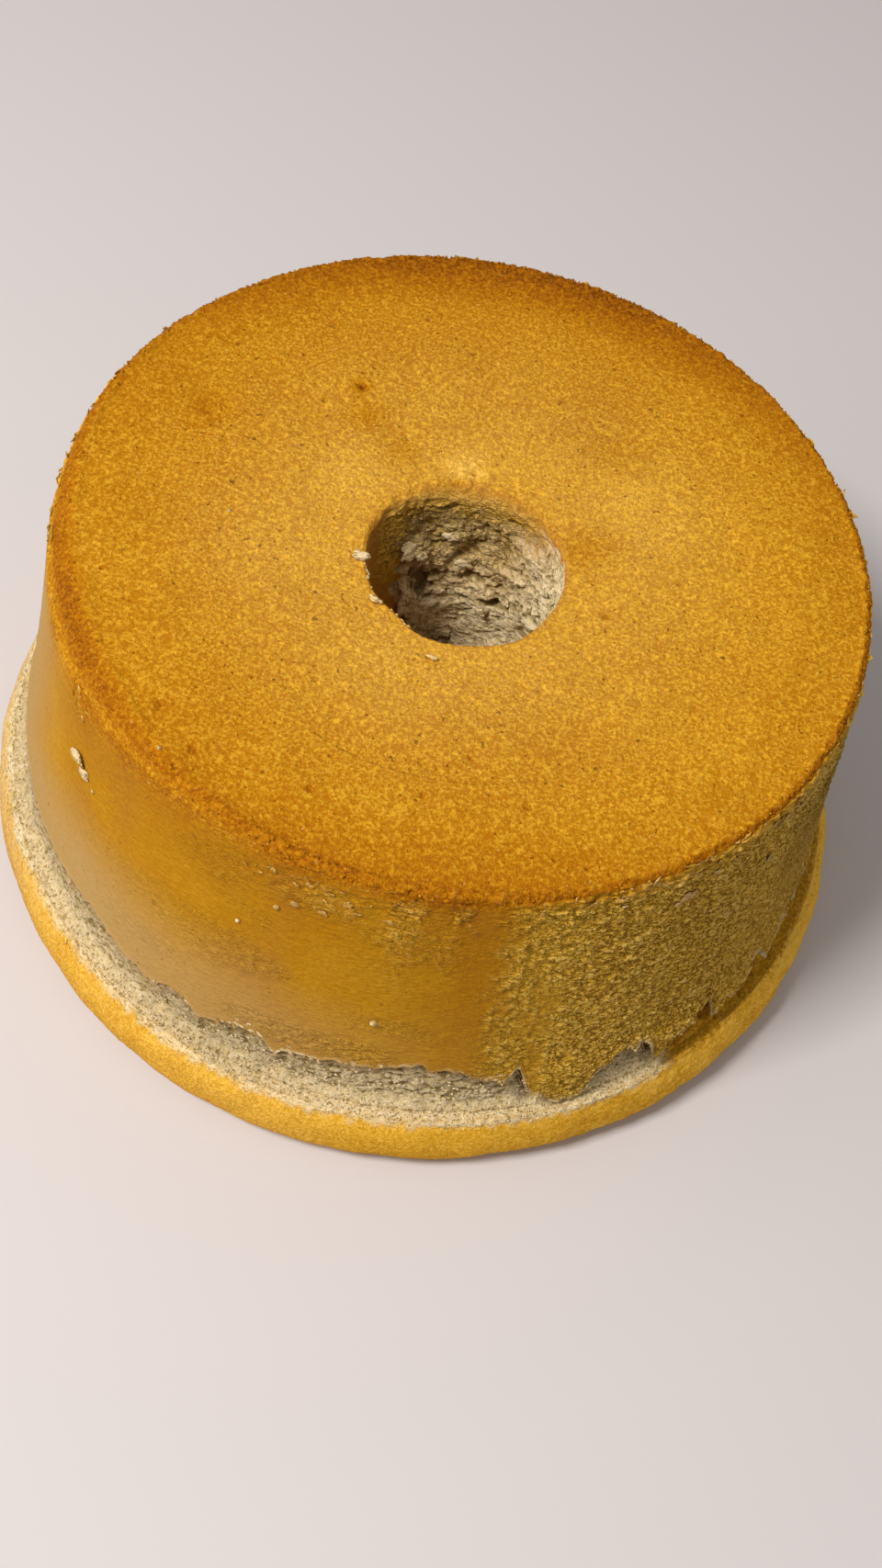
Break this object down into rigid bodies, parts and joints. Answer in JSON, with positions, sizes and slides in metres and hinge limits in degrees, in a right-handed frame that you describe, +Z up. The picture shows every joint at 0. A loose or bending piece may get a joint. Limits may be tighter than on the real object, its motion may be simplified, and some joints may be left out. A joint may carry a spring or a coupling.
{
  "type": "chiffon cake",
  "caption": "Tall ring-shaped chiffon cake turned out of its tube pan: porous golden top, smooth tapered side, band of torn pale crumb and rounded golden brim.",
  "frame": {"origin": "middle of the face the cake rests on", "axes": "+Z up through the ring, front towards -Y, right towards +X"},
  "size_m": [0.2088, 0.2074, 0.099],
  "materials": {
    "top_crust": "fine porous golden-brown crust, matt",
    "side_skin": "smooth thin ochre skin, matt with a faint satin sheen",
    "crumb": "torn open crumb, pale grey-beige, matt",
    "brim_crust": "soft golden-yellow crust, matt"
  },
  "bodies": {
    "root": {"cake": "top_crust"}
  },
  "joints": []
}
